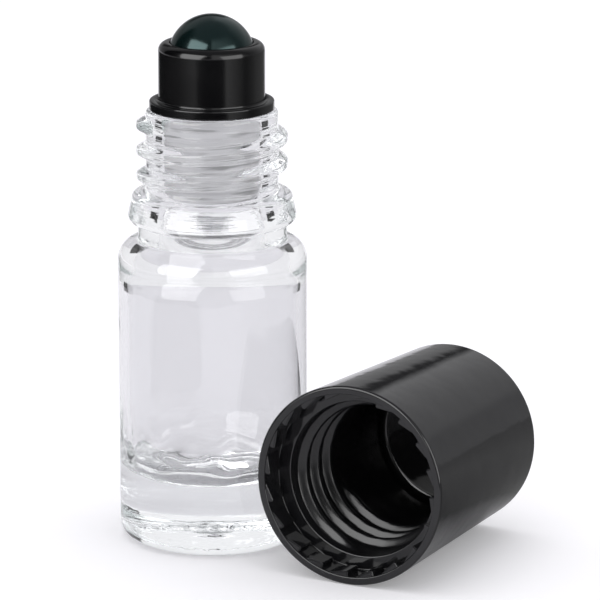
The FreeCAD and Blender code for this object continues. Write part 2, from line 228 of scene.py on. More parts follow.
def open_tree(name, sizes, extra=()):
    """A new Geometry Nodes tree with a geometry socket each way and named inputs."""
    tree = bpy.data.node_groups.new(name, "GeometryNodeTree")
    tree.interface.new_socket("Geometry", in_out="INPUT", socket_type="NodeSocketGeometry")
    for label in sizes:
        tree.interface.new_socket(label, in_out="INPUT", socket_type="NodeSocketFloat")
    for label, kind in extra:
        tree.interface.new_socket(label, in_out="INPUT", socket_type=kind)
    tree.interface.new_socket("Geometry", in_out="OUTPUT", socket_type="NodeSocketGeometry")
    return tree, tree.nodes.new("NodeGroupInput").outputs


def close_tree(tree, geometry, material):
    """Ends a tree in plain geometry with its material."""
    real = add_node(tree, "GeometryNodeRealizeInstances", {"Geometry": geometry})
    dressed = add_node(tree, "GeometryNodeSetMaterial", {"Geometry": real.outputs[0], "Material": material})
    tree.links.new(dressed.outputs[0], tree.nodes.new("NodeGroupOutput").inputs[0])


def screw_thread_tree():
    """Raises a screw thread on the marked band of a turned mesh: one ridge that climbs with the angle,
    with a rounded crest and ends that run out into the wall."""
    sizes = [
        "Pitch", "Height", "Foot Width", "Crest Width", "Start Height", "Start Angle", "Turns", "Run-out",
    ]
    tree, given = open_tree("screw_thread", sizes, [("Material", "NodeSocketMaterial")])

    place = add_node(tree, "GeometryNodeInputPosition").outputs[0]
    split = add_node(tree, "ShaderNodeSeparateXYZ", {0: place}).outputs
    band = add_node(tree, "GeometryNodeInputNamedAttribute", {"Name": THREAD_BAND}, data_type="FLOAT")
    known = {name: given[name] for name in sizes}
    known.update({name: split[name] for name in "XYZ"})
    known["band"] = band.outputs["Attribute"]
    # each row: the result, the step that makes it, and two known results or numbers
    rows = [
        ("bearing", "ARCTAN2", "Y", "X"),
        ("angle", "SUBTRACT", "bearing", "Start Angle"),
        ("laps", "DIVIDE", "angle", 2 * math.pi),
        ("turn", "FRACT", "laps", 0.0),
        ("climb", "SUBTRACT", "Z", "Start Height"),
        ("rise", "DIVIDE", "climb", "Pitch"),
        ("ahead", "SUBTRACT", "rise", "turn"),
        ("lap", "ROUND", "ahead", 0.0),
        ("along", "ADD", "turn", "lap"),
        ("off", "SUBTRACT", "rise", "along"),
        ("off_z", "MULTIPLY", "off", "Pitch"),
        ("away", "ABSOLUTE", "off_z", 0.0),
        ("foot", "DIVIDE", "Foot Width", 2.0),
        ("crest", "DIVIDE", "Crest Width", 2.0),
        ("last", "SUBTRACT", "Turns", "Run-out"),
    ]
    # each row: the result, what it follows, and where that makes it none and whole
    slopes = [
        ("ridge", "away", "foot", "crest"),
        ("begin", "along", 0.0, "Run-out"),
        ("finish", "along", "Turns", "last"),
    ]
    for result, operation, first, second in rows:
        sockets = {0: known.get(first, first), 1: known.get(second, second)}
        known[result] = add_node(tree, "ShaderNodeMath", sockets, operation=operation).outputs[0]
    for result, content, low, high in slopes:
        sockets = {"Value": known[content]}
        sockets["From Min"] = known.get(low, low)
        sockets["From Max"] = known.get(high, high)
        slope = add_node(tree, "ShaderNodeMapRange", sockets, interpolation_type="SMOOTHSTEP")
        known[result] = slope.outputs[0]
    lift = known["ridge"]
    for factor in ("begin", "finish", "Height", "band"):
        lift = add_node(tree, "ShaderNodeMath", {0: lift, 1: known[factor]}, operation="MULTIPLY").outputs[0]
    flat = add_node(tree, "ShaderNodeVectorMath", {0: place, 1: (1, 1, 0)}, operation="MULTIPLY").outputs[0]
    out = add_node(tree, "ShaderNodeVectorMath", {0: flat}, operation="NORMALIZE").outputs[0]
    push = add_node(tree, "ShaderNodeVectorMath", {0: out, "Scale": lift}, operation="SCALE").outputs[0]
    moved = add_node(tree, "GeometryNodeSetPosition", {"Geometry": given["Geometry"], "Offset": push})
    close_tree(tree, moved.outputs[0], given["Material"])
    return tree


def ring_of_teeth_tree():
    """Repeats one tooth round the Z axis."""
    extra = [("Count", "NodeSocketInt"), ("Material", "NodeSocketMaterial")]
    tree, given = open_tree("ring_of_teeth", [], extra)
    points = add_node(tree, "GeometryNodePoints", {"Count": given["Count"]}).outputs[0]
    index = add_node(tree, "GeometryNodeInputIndex").outputs[0]
    share = add_node(tree, "ShaderNodeMath", {0: index, 1: given["Count"]}, operation="DIVIDE").outputs[0]
    angle = add_node(tree, "ShaderNodeMath", {0: share, 1: 2 * math.pi}, operation="MULTIPLY").outputs[0]
    turn = add_node(tree, "ShaderNodeCombineXYZ", {"Z": angle}).outputs[0]
    sockets = {"Points": points, "Instance": given["Geometry"], "Rotation": turn}
    spread = add_node(tree, "GeometryNodeInstanceOnPoints", sockets).outputs[0]
    close_tree(tree, spread, given["Material"])
    return tree


# Finishes

def new_material(name):
    """A material with an empty tree; returns it, its tree and its output node."""
    material = bpy.data.materials.new(name)
    material.use_nodes = True
    material.node_tree.nodes.clear()
    return material, material.node_tree, material.node_tree.nodes.new("ShaderNodeOutputMaterial")


def set_shades(ramp, colour, dark, light=1.0):
    """Makes the two ends of a colour ramp a darker and a lighter shade of one colour."""
    ramp.elements[0].color = shaded(colour, dark)
    ramp.elements[1].color = shaded(colour, light)


def set_greys(ramp, stops, blue=1.0):
    """Gives a colour ramp its greys by the way round in degrees, from -180 at its start to 180 at its end."""
    for way, level in stops:
        if abs(way) == 180:
            element = ramp.elements[0 if way < 0 else -1]
        else:
            element = ramp.elements.new(way / 360 + 0.5)
        element.color = grey(level, blue)


def flint_glass(look):
    """Clear soda-lime glass, blown in a mould: bright and clear with a faint green in the thick edges,
    a slow waviness that bends what shows through it, fine rings round the neck and a stippled base."""
    material, tree, output = new_material("flint_glass_blown")
    place = add_node(tree, "ShaderNodeTexCoord").outputs["Object"]
    height = add_node(tree, "ShaderNodeSeparateXYZ", {0: place}).outputs["Z"]
    # each row: length of the waves across and along the axis, depth, and the heights at which they are none
    # and whole; first the slow waves all over, then the rings of the neck and the stipple of the base
    reliefs = [
        (5.0, 5.0, 0.12 * look.waviness, -1.0, 0.0),
        (9.0, 0.4, 0.45 * look.waviness, 37.5, 41.5),
        (1.1, 1.1, 1.1 * look.waviness, 1.6, 1.0),
    ]
    bump = add_node(tree, "ShaderNodeNewGeometry").outputs["Normal"]
    for across, along, depth, low, high in reliefs:
        scale = (1 / (across * MM), 1 / (across * MM), 1 / (along * MM))
        spread = add_node(tree, "ShaderNodeMapping", {"Vector": place, "Scale": scale}).outputs[0]
        waves = add_node(tree, "ShaderNodeTexNoise", {"Vector": spread, "Scale": 1.0, "Detail": 1.5})
        sockets = {"Value": height, "From Min": low * MM, "From Max": high * MM}
        share = add_node(tree, "ShaderNodeMapRange", sockets).outputs[0]
        sockets = {"Height": waves.outputs["Fac"], "Strength": share, "Distance": depth * MM, "Normal": bump}
        bump = add_node(tree, "ShaderNodeBump", sockets).outputs[0]
    # handling haze in patches about 9 mm wide
    haze = add_node(tree, "ShaderNodeTexNoise", {"Vector": place, "Scale": 1 / (9 * MM), "Detail": 3.0})
    sockets = {"Value": haze.outputs["Fac"], "To Min": 0.0, "To Max": 0.02}
    rough = add_node(tree, "ShaderNodeMapRange", sockets).outputs[0]
    glass = add_node(tree, "ShaderNodeBsdfPrincipled", {
        "Base Color": linear("#f7f7f8"),
        "Roughness": rough,
        "IOR": 1.52,
        "Transmission Weight": 1.0,
        "Normal": bump,
    })
    sockets = {"Color": shaded(look.tint), "Density": look.tint_density}
    thick = add_node(tree, "ShaderNodeVolumeAbsorption", sockets)
    tree.links.new(glass.outputs[0], output.inputs["Surface"])
    tree.links.new(thick.outputs[0], output.inputs["Volume"])
    return material


def gloss_black_polypropylene(name, colour, ripple, dullness):
    """Black polypropylene from a polished mould: deep black with soft-edged reflections, a slow ripple
    where it shrank, and a trace of fine haze."""
    material, tree, output = new_material(name)
    place = add_node(tree, "ShaderNodeTexCoord").outputs["Object"]
    # shrink ripple about 4 mm long, and haze grain of 0.4 mm, coarser than the real one so that it shows
    slow = add_node(tree, "ShaderNodeTexNoise", {"Vector": place, "Scale": 1 / (4 * MM), "Detail": 2.0})
    fine = add_node(tree, "ShaderNodeTexNoise", {"Vector": place, "Scale": 1 / (0.4 * MM), "Detail": 2.0})
    sockets = {"Height": slow.outputs["Fac"], "Strength": ripple, "Distance": 0.3 * MM}
    first = add_node(tree, "ShaderNodeBump", sockets).outputs[0]
    sockets = {"Height": fine.outputs["Fac"], "Strength": 0.05, "Distance": 0.01 * MM, "Normal": first}
    bump = add_node(tree, "ShaderNodeBump", sockets).outputs[0]
    sockets = {"Value": slow.outputs["Fac"], "To Min": 0.7 * dullness, "To Max": 1.3 * dullness}
    clean = add_node(tree, "ShaderNodeMapRange", sockets).outputs[0]
    # a moulded thread is a little duller
    thread_dulling = 0.12
    thread = add_node(tree, "ShaderNodeAttribute", attribute_name=THREAD_BAND).outputs["Fac"]
    sockets = {0: thread, 1: thread_dulling, 2: clean}
    rough = add_node(tree, "ShaderNodeMath", sockets, operation="MULTIPLY_ADD").outputs[0]
    tone = add_node(tree, "ShaderNodeValToRGB", {"Fac": fine.outputs["Fac"]})
    set_shades(tone.color_ramp, colour, 0.75, 1.15)
    plastic = add_node(tree, "ShaderNodeBsdfPrincipled", {
        "Base Color": tone.outputs[0],
        "Roughness": rough,
        "IOR": 1.49,
        "Normal": bump,
    })
    tree.links.new(plastic.outputs[0], output.inputs["Surface"])
    return material


def natural_polyethylene(colour):
    """Uncoloured polyethylene: milky white that lets light through, with a waxy sheen and darker lines round
    it, partly flow lines and partly painted shade for the dark lines that the glass thread in front of it
    shows."""
    material, tree, output = new_material("natural_polyethylene")
    place = add_node(tree, "ShaderNodeTexCoord").outputs["Object"]
    # darker lines about 0.6 mm apart and 6 mm long: flow lines, and painted shade for the dark lines of the
    # glass thread
    scale = (1 / (6 * MM), 1 / (6 * MM), 1 / (0.6 * MM))
    spread = add_node(tree, "ShaderNodeMapping", {"Vector": place, "Scale": scale}).outputs[0]
    flow_and_shade_lines = add_node(tree, "ShaderNodeTexNoise", {"Vector": spread, "Scale": 1.0, "Detail": 2.0})
    # the ramp paints the lines down to 0.55 of the colour: partly flow lines, partly painted shade
    tone = add_node(tree, "ShaderNodeValToRGB", {"Fac": flow_and_shade_lines.outputs["Fac"]})
    tone.color_ramp.elements[0].position = 0.36
    tone.color_ramp.elements[1].position = 0.48
    set_shades(tone.color_ramp, colour, 0.55)
    sockets = {"Height": flow_and_shade_lines.outputs["Fac"], "Strength": 0.1, "Distance": 0.05 * MM}
    bump = add_node(tree, "ShaderNodeBump", sockets).outputs[0]
    wax = add_node(tree, "ShaderNodeBsdfPrincipled", {
        "Base Color": tone.outputs[0],
        "Roughness": 0.42,
        "IOR": 1.51,
        "Transmission Weight": 0.1,
        "Normal": bump,
    })
    tree.links.new(wax.outputs[0], output.inputs["Surface"])
    return material


def dark_ball_glass(colour):
    """Dark bottle-green glass, ground and polished to a ball: almost black with a blue-green cast, a hard
    polish and faint cords in the colour."""
    material, tree, output = new_material("dark_ball_glass")
    place = add_node(tree, "ShaderNodeTexCoord").outputs["Object"]
    # cords in the melt about 4 mm apart
    sockets = {"Vector": place, "Scale": 1 / (4 * MM), "Detail": 2.0, "Distortion": 1.2}
    cords = add_node(tree, "ShaderNodeTexNoise", sockets)
    tone = add_node(tree, "ShaderNodeValToRGB", {"Fac": cords.outputs["Fac"]})
    set_shades(tone.color_ramp, colour, 0.75, 1.2)
    sockets = {"Value": cords.outputs["Fac"], "To Min": 0.1, "To Max": 0.2}
    rough = add_node(tree, "ShaderNodeMapRange", sockets).outputs[0]
    glass = add_node(tree, "ShaderNodeBsdfPrincipled", {
        "Base Color": tone.outputs[0],
        "Roughness": rough,
        "IOR": 1.58,
        "Specular Tint": linear("#d2f8f8"),
    })
    tree.links.new(glass.outputs[0], output.inputs["Surface"])
    return material


def white_paper(colour):
    """Matt white paper: a soft even white that keeps a shadow, a little brighter to the eye."""
    material, tree, output = new_material("matt_white_paper")
    place = add_node(tree, "ShaderNodeTexCoord").outputs["Object"]
    # fibre clouds about 20 mm across
    fibre = add_node(tree, "ShaderNodeTexNoise", {"Vector": place, "Scale": 1 / (20 * MM), "Detail": 4.0})
    tone = add_node(tree, "ShaderNodeValToRGB", {"Fac": fibre.outputs["Fac"]})
    set_shades(tone.color_ramp, colour, 0.985)
    matt = add_node(tree, "ShaderNodeBsdfDiffuse", {"Color": tone.outputs[0]})
    path = add_node(tree, "ShaderNodeLightPath").outputs
    eye_gain = 0.22
    share = add_node(tree, "ShaderNodeMath", {0: path["Is Camera Ray"], 1: eye_gain}, operation="MULTIPLY")
    glow = add_node(tree, "ShaderNodeEmission", {"Color": linear("#ffffff"), "Strength": share.outputs[0]})
    both = add_node(tree, "ShaderNodeAddShader", {0: matt.outputs[0], 1: glow.outputs[0]})
    tree.links.new(both.outputs[0], output.inputs["Surface"])
    return material


def seen_direct(tree, output, colour, bare=0.0):
    """Lets gloss and glass see a lit surface, but for the share of it that is bare, and lets light on its
    way to a matt surface through it."""
    glow = add_node(tree, "ShaderNodeEmission", {"Color": colour})
    clear = add_node(tree, "ShaderNodeBsdfTransparent")
    path = add_node(tree, "ShaderNodeLightPath").outputs
    passed = add_node(tree, "ShaderNodeMath", {0: path["Diffuse Depth"], 1: bare}, operation="MAXIMUM")
    sockets = {0: passed.outputs[0], 1: glow.outputs[0], 2: clear.outputs[0]}
    both = add_node(tree, "ShaderNodeMixShader", sockets)
    tree.links.new(both.outputs[0], output.inputs["Surface"])


def turned_to_camera(tree, place, azimuth):
    """Splits a place into its way to the camera's right, ahead and up."""
    sockets = {"Vector": place, "Rotation": (0, 0, -azimuth)}
    turned = add_node(tree, "ShaderNodeMapping", sockets).outputs[0]
    return add_node(tree, "ShaderNodeSeparateXYZ", {0: turned}).outputs


def way_round(tree, across, ahead):
    """The angle of a place, from 0 to 1 over a whole turn."""
    angle = add_node(tree, "ShaderNodeMath", {0: across, 1: ahead}, operation="ARCTAN2").outputs[0]
    sockets = {"Value": angle, "From Min": -math.pi, "From Max": math.pi}
    return add_node(tree, "ShaderNodeMapRange", sockets).outputs[0]


def dark_cloth(azimuth):
    """Dark cloth in front of the paper, with a grey strip to each side of the camera. It thins out close to
    the cap."""
    material, tree, output = new_material("dark_cloth")
    place = add_node(tree, "ShaderNodeTexCoord").outputs["Object"]
    split = turned_to_camera(tree, place, azimuth)
    back = add_node(tree, "ShaderNodeMath", {0: split["Y"], 1: -1.0}, operation="MULTIPLY").outputs[0]
    bearing = way_round(tree, split["X"], back)
    tone = add_node(tree, "ShaderNodeValToRGB", {"Fac": bearing})
    # grey by the way round, in degrees to the right of the camera
    set_greys(tone.color_ramp, [
        (-180, 0.03), (-120, 0.03), (-60, 0.16), (-36, 0.32), (-29, 0.03), (26, 0.03), (32, 0.7),
        (60, 0.3), (76, 0.12), (110, 0.3), (140, 0.2), (180, 0.15),
    ])
    reach = add_node(tree, "ShaderNodeVectorMath", {0: place}, operation="LENGTH").outputs["Value"]
    gone_at = 26 * MM
    whole_at = 40 * MM
    sockets = {"Value": reach, "From Min": gone_at, "From Max": whole_at, "To Min": 1.0, "To Max": 0.0}
    bare = add_node(tree, "ShaderNodeMapRange", sockets).outputs[0]
    seen_direct(tree, output, tone.outputs[0], bare)
    return material


def studio_card(name, level):
    """A lit softbox cloth or a dark card of the studio."""
    material, tree, output = new_material(name)
    seen_direct(tree, output, grey(level))
    return material


def studio_world(azimuth):
    """White all round for the eye and even white light on matt surfaces. Gloss sees a dim room: a dark
    horizon behind, grey to the right that brightens towards the camera, a black gap to the left and a dim
    ceiling. Glass sees white behind and a dimmer room in front."""
    world = bpy.data.worlds.new("studio")
    world.use_nodes = True
    tree = world.node_tree
    tree.nodes.clear()
    way = add_node(tree, "ShaderNodeTexCoord").outputs["Generated"]
    split = turned_to_camera(tree, way, azimuth)
    bearing = way_round(tree, split["X"], split["Y"])
    # light by the way round, in degrees to the right of straight behind the bottle; each ramp ends in white
    rounds = {
        "edge": [
            (-180, 0.1), (-100, 0.1), (-80, 0.02), (-57, 0.02), (-54, 0.28), (-20, 0.35),
            (60, 0.38), (90, 0.3),
        ],
        "low": [
            (-180, 0.1), (-100, 0.1), (-80, 0.02), (-57, 0.02), (-54, 0.26), (-26, 0.26), (-20, 0.04),
            (10, 0.04), (14, 0.65), (60, 0.42), (90, 0.2),
        ],
        "high": [
            (-180, 0.12), (-100, 0.15), (-80, 0.02), (-57, 0.02), (-54, 0.34), (0, 0.34),
            (12, 0.65), (60, 0.42), (90, 0.2),
        ],
        "through": [(-180, 0.72), (-130, 0.7), (-95, 1.0), (95, 1.0), (130, 0.7)],
    }
    tone = {"ceiling": grey(0.25, blue=1.04)}
    for name, stops in rounds.items():
        node = add_node(tree, "ShaderNodeValToRGB", {"Fac": bearing})
        set_greys(node.color_ramp, stops, blue=1.02)
        tone[name] = node.outputs[0]
    # each row: the result, what lies below and above, and the sines of height between which they blend
    heights = [
        ("base", "edge", "low", 0.22, 0.27),
        ("room", "base", "high", 0.47, 0.53),
        ("gloss", "room", "ceiling", 0.75, 0.88),
    ]
    for result, below, above, low, high in heights:
        share = add_node(tree, "ShaderNodeMapRange", {"Value": split["Z"], "From Min": low, "From Max": high})
        # sockets 6 and 7 are the two colours and output 2 is their mix
        sockets = {0: share.outputs[0], 6: tone[below], 7: tone[above]}
        tone[result] = add_node(tree, "ShaderNodeMix", sockets, data_type="RGBA").outputs[2]
    path = add_node(tree, "ShaderNodeLightPath").outputs
    # what lies behind glass gets more light than what lies open
    sockets = {"Value": path["Is Transmission Ray"], "To Min": 0.85, "To Max": 1.6}
    lit = add_node(tree, "ShaderNodeMapRange", sockets).outputs[0]
    white = linear("#ffffff")
    lights = [(white, lit), (tone["gloss"], 1.0), (tone["through"], 1.0), (white, 1.0)]
    even, shine, clear, bright = [
        add_node(tree, "ShaderNodeBackground", {"Color": colour, "Strength": level})
        for colour, level in lights
    ]
    # a later kind of ray goes before an earlier one
    seen = [
        ("Is Glossy Ray", shine),
        ("Is Transmission Ray", clear),
        ("Diffuse Depth", even),
        ("Is Camera Ray", bright),
    ]
    shown = even
    for ray, background in seen:
        sockets = {0: path[ray], 1: shown.outputs[0], 2: background.outputs[0]}
        shown = add_node(tree, "ShaderNodeMixShader", sockets)
    add_node(tree, "ShaderNodeOutputWorld", {"Surface": shown.outputs[0]})
    return world


# What a user would change

class RollonGlassLook(bpy.types.PropertyGroup):
    """Sizes and look of the glass bottle"""

    thread_pitch: bpy.props.FloatProperty(
        name="Thread pitch", description="Rise of the neck's thread in one turn",
        default=3.0 * MM, unit="LENGTH")
    thread_height: bpy.props.FloatProperty(
        name="Thread height", description="How far the thread stands out from the neck",
        default=1.1 * MM, unit="LENGTH")
    thread_turns: bpy.props.FloatProperty(
        name="Thread turns", description="Length of the thread in turns",
        default=2.22, min=0.5, max=3.0)
    thread_start: bpy.props.FloatProperty(
        name="Thread start", description="Angle at which the thread starts, low on the neck",
        default=math.radians(160), subtype="ANGLE", unit="ROTATION")
    unevenness: bpy.props.FloatProperty(
        name="Unevenness", description="How far the blown inside wall strays from round",
        default=0.1 * MM, unit="LENGTH")
    knurls: bpy.props.IntProperty(
        name="Knurls", description="Short bars round the ring that the bottle stands on",
        default=64, min=8, max=64)
    waviness: bpy.props.FloatProperty(
        name="Waviness", description="Strength of the slow waves in the glass surface",
        default=0.1, min=0.0, max=1.0)
    tint: bpy.props.FloatVectorProperty(
        name="Tint", description="Colour that thick glass takes",
        default=linear("#e3ecea")[:3], subtype="COLOR")
    tint_density: bpy.props.FloatProperty(
        name="Tint density", description="How fast thick glass takes its colour, per metre",
        default=8.0, min=0.0)


class RollonFitmentLook(bpy.types.PropertyGroup):
    """Look of the ball, its cage and the plug"""

    cage_colour: bpy.props.FloatVectorProperty(
        name="Cage colour", description="Colour of the cage's plastic",
        default=linear("#050507")[:3], subtype="COLOR")
    ball_colour: bpy.props.FloatVectorProperty(
        name="Ball colour", description="Colour of the ball's glass",
        default=linear("#041212")[:3], subtype="COLOR")
    plug_colour: bpy.props.FloatVectorProperty(
        name="Plug colour", description="Colour of the plug's plastic",
        default=linear("#fdfdff")[:3], subtype="COLOR")


class RollonCapLook(bpy.types.PropertyGroup):
    """Sizes and look of the screw cap"""

    colour: bpy.props.FloatVectorProperty(
        name="Cap colour", description="Colour of the cap's plastic",
        default=linear("#1c1c1e")[:3], subtype="COLOR")
    thread_height: bpy.props.FloatProperty(
        name="Thread height", description="How far the cap's thread stands in",
        default=1.0 * MM, unit="LENGTH")
    tooth_count: bpy.props.IntProperty(
        name="Teeth", description="Ratchet teeth inside the mouth",
        default=20, min=4, max=60)
    ripple: bpy.props.FloatProperty(
        name="Ripple", description="Strength of the shrink ripple on the outside",
        default=0.22, min=0.0, max=1.0)


class RollonStageLook(bpy.types.PropertyGroup):
    """Camera, floor and light"""

    azimuth: bpy.props.FloatProperty(
        name="Azimuth", description="Camera's way round the bottle",
        default=math.radians(28), subtype="ANGLE", unit="ROTATION")
    distance: bpy.props.FloatProperty(
        name="Distance", description="Camera's level distance from the bottle",
        default=490 * MM, unit="LENGTH")
    height: bpy.props.FloatProperty(
        name="Height", description="Camera's height above the floor",
        default=152 * MM, unit="LENGTH")
    pan: bpy.props.FloatProperty(
        name="Pan", description="Camera's turn to the right of the bottle",
        default=math.radians(1.20), subtype="ANGLE", unit="ROTATION")
    tilt: bpy.props.FloatProperty(
        name="Tilt", description="Camera's turn below level",
        default=math.radians(14.15), subtype="ANGLE", unit="ROTATION")
    lens: bpy.props.FloatProperty(
        name="Lens", description="Focal length for a 36 mm picture",
        default=257.5, unit="CAMERA")
    floor_colour: bpy.props.FloatVectorProperty(
        name="Floor colour", description="Colour of the floor",
        default=linear("#f3f2f7")[:3], subtype="COLOR")


# Operators, one for each piece and one for the stage

class ROLLON_OT_glass_bottle(bpy.types.Operator):
    """Build the glass bottle with its thread, bead, thick base and uneven blown inside"""

    bl_idname = "rollon.glass_bottle"
    bl_label = "Glass bottle"

    def execute(self, context):
        look = context.scene.rollon_glass
        ring_in_r = 6.9
        ring_out_r = 9.1
        neck_r = 7.75
        lip_round = 0.5
        # base with its dome and rest ring, side, shoulder, bead, neck and lip
        outside = [
            (0, 0.9, -26.9),
            (ring_in_r, 0, None),
            (ring_out_r, 0, 2.0),
            (BODY_R, 2.0, None),
            (BODY_R, 33.8, 2.40),
            (8.95, 36.05, -0.25),
            (8.75, 36.3, None),
            (8.75, 37.85, -0.2),
            (8.95, 38.05, 0.925),
            (9.875, 38.95, None),
            (9.455, 40.95, 0.7),
            (8.755, 41.65, -1.005),
            (neck_r, 42.655, None, 0.11),
            (neck_r, LIP_Z - lip_round, lip_round),
            (neck_r - lip_round, LIP_Z, None),
        ]
        wall = 1.1
        cavity_r = BODY_R - wall
        bore_r = 5.7
        floor_z = 7.7
        bowl_r = 4.8
        # the flare is two arcs that run into each other
        flare_top = LIP_Z - BORE_LENGTH
        flare_height = 9.75
        flare_run = cavity_r - bore_r
        flare_sum = (flare_run ** 2 + flare_height ** 2) / (2 * flare_run)
        flare_round = 7.0
        flare_mid_r = bore_r + flare_round * flare_run / flare_sum
        flare_mid_z = flare_top - flare_round * flare_height / flare_sum
        inside = [
            (bore_r + lip_round, LIP_Z, lip_round),
            (bore_r, LIP_Z - lip_round, None),
            (bore_r, flare_top, flare_round),
            (flare_mid_r, flare_mid_z, flare_round - flare_sum),
            (cavity_r, flare_top - flare_height, None, 1.5),
            (cavity_r, floor_z + bowl_r, -bowl_r),
            (cavity_r - bowl_r, floor_z, None),
            (0, floor_z, None),
        ]
        points = section_points(outside + inside)
        lip = max(range(len(points)), key=lambda i: points[i].y)
        stray = look.unevenness / MM
        ring_edge = 0.05
        bar_depth = 0.22
        bar_share = 0.45
        waves_top = 38
        waves_fade = 6
        long_wave = 7.0
        short_wave = 2.5
        short_gain = 2.5
        short_top = 14

        def uneven(place, number):
            across = math.hypot(place.x, place.y)
            if place.z == 0 and ring_in_r + ring_edge < across < ring_out_r - ring_edge:
                lap = math.atan2(place.y, place.x) / (2 * math.pi) * look.knurls
                return 0.0, bar_depth if lap % 1.0 < bar_share else 0.0
            if number < lip or place.z > waves_top:
                return 0.0, 0.0
            fade = min(1.0, (waves_top - place.z) / waves_fade)
            short = short_gain * noise.noise(place / short_wave) if place.z < short_top else 0.0
            return stray * fade * (noise.noise(place / long_wave) + short), 0.0

        mesh = turned_mesh("glass_bottle", points, AROUND, shift=uneven)
        bead_top = 41.9
        mark_band(mesh, lambda p: p.z > bead_top and math.hypot(p.x, p.y) > neck_r - 0.05)
        material = flint_glass(look)
        threaded = grown("glass_bottle", mesh, screw_thread_tree(), {
            "Pitch": look.thread_pitch,
            "Height": look.thread_height,
            "Foot Width": 2.3 * MM,
            "Crest Width": 0.5 * MM,
            "Start Height": 43.25 * MM,
            "Start Angle": look.thread_start,
            "Turns": look.thread_turns,
            "Run-out": 0.06,
            "Material": material,
        })
        add_piece("glass_bottle_blown", threaded, "bottle", material, "glass_bottle")
        return {"FINISHED"}


class ROLLON_OT_plug(bpy.types.Operator):
    """Build the plug that is pressed into the neck, with its sealing ribs and the seat under the ball"""

    bl_idname = "rollon.plug"
    bl_label = "Plug"

    def execute(self, context):
        look = context.scene.rollon_fitment
        low_z = LIP_Z - BORE_LENGTH
        plug_r = 5.5
        wall = 0.65
        inner_r = plug_r - wall
        foot_round = 0.25
        corners = [
            (inner_r, low_z, None),
            (plug_r - foot_round, low_z, foot_round),
            (plug_r, low_z + foot_round, None),
        ]
        rib_round = 0.75
        rib_width = 0.9
        for drop in (8.9, 5.7, 2.5):
            corners += [(plug_r, LIP_Z - drop, rib_round), (plug_r, LIP_Z - drop + rib_width, None)]
        head_round = 0.15
        seat_r = SOCKET_R * math.sin(SEAT_ANGLE)
        feed_r = 1.25
        cup_wall = 0.8
        cup_r = SOCKET_R + cup_wall
        corners += [
            (plug_r, SEAT_Z - head_round, head_round),
            (plug_r - head_round, SEAT_Z, None),
            (seat_r, SEAT_Z, -SOCKET_R),
            (feed_r, BALL_Z - math.sqrt(SOCKET_R ** 2 - feed_r ** 2), None),
            (feed_r, BALL_Z - math.sqrt(cup_r ** 2 - feed_r ** 2), cup_r),
            (inner_r, BALL_Z - math.sqrt(cup_r ** 2 - inner_r ** 2), None),
        ]
        mesh = turned_mesh("plug_insert", section_points(corners, step=1.0), AROUND // 2)
        material = natural_polyethylene(look.plug_colour)
        add_piece("plug_moulded", mesh, "bottle", material, "plug_insert")
        return {"FINISHED"}


class ROLLON_OT_ball_cage(bpy.types.Operator):
    """Build the black cage that closes over the ball, with its flange on the glass lip"""

    bl_idname = "rollon.ball_cage"
    bl_label = "Ball cage"

    def execute(self, context):
        look = context.scene.rollon_fitment
        wall = 0.975
        cage_r = SOCKET_R + wall
        flange_top = LIP_Z + 1.15
        flange_round = 0.2
        groove = 0.12
        foot_round = 0.3
        mouth_rise = 1.9
        mouth_r = math.sqrt(SOCKET_R ** 2 - mouth_rise ** 2)
        crown_r = mouth_r + 0.33
        crown_round = cage_r - crown_r
        head_r = 5.55
        corners = [
            (head_r, LIP_Z, None),
            (FLANGE_R - flange_round, LIP_Z, flange_round),
            (FLANGE_R, LIP_Z + flange_round, None),
            (FLANGE_R, flange_top - flange_round, flange_round),
            (FLANGE_R - flange_round, flange_top, None),
            (cage_r + 0.45, flange_top, -groove),
            (cage_r + 0.33, flange_top - groove, None),
            (cage_r + foot_round, flange_top - groove, -foot_round),
            (cage_r, flange_top - groove + foot_round, None),
            (cage_r, CAGE_TOP_Z - crown_round, crown_round),
            (crown_r, CAGE_TOP_Z, None),
            (mouth_r + 0.08, CAGE_TOP_Z, 0.1),
            (mouth_r + 0.02, CAGE_TOP_Z - 0.1, -SOCKET_R),
            (SOCKET_R, BALL_Z, None),
            (SOCKET_R, SEAT_Z, None),
            (head_r, SEAT_Z, None),
        ]
        mesh = turned_mesh("ball_cage", section_points(corners, step=1.0), AROUND)
        material = gloss_black_polypropylene(
            "gloss_black_polypropylene", look.cage_colour, ripple=0.03, dullness=0.16)
        add_piece("ball_cage_moulded", mesh, "bottle", material, "ball_cage")
        return {"FINISHED"}


class ROLLON_OT_roller_ball(bpy.types.Operator):
    """Build the ground glass ball that rolls in the cage"""

    bl_idname = "rollon.roller_ball"
    bl_label = "Roller ball"

    def execute(self, context):
        look = context.scene.rollon_fitment
        mesh = bpy.data.meshes.new("roller_ball")
        build = bmesh.new()
        bmesh.ops.create_cube(build, size=2.0)
        bmesh.ops.subdivide_edges(build, edges=build.edges, cuts=47, use_grid_fill=True)
        centre = Vector((0, 0, BALL_Z))
        for vertex in build.verts:
            even = Vector([math.tan(c * math.pi / 4) for c in vertex.co])
            vertex.co = (centre + even.normalized() * BALL_R) * MM
        build.to_mesh(mesh)
        build.free()
        mesh.shade_smooth()
        material = dark_ball_glass(look.ball_colour)
        add_piece("roller_ball_ground", mesh, "ball", material, "roller_ball")
        return {"FINISHED"}


CAP_HEIGHT = 28.6
CAP_NARROWING = 0.8
CAP_TAPER = CAP_NARROWING / CAP_HEIGHT
CAP_RIM_R = 10.75
CAP_MOUTH_Y = -11.0


def laid_down():
    """Takes the cap from its own upright axis, mouth at the origin, to where it lies."""
    lean = math.atan(CAP_TAPER)
    rest_z = CAP_MOUTH_R * math.cos(lean)
    place = Matrix.Translation(Vector((CAP_X, CAP_MOUTH_Y, rest_z)) * MM)
    return place @ Matrix.Rotation(-(math.pi / 2 + lean), 4, "X")


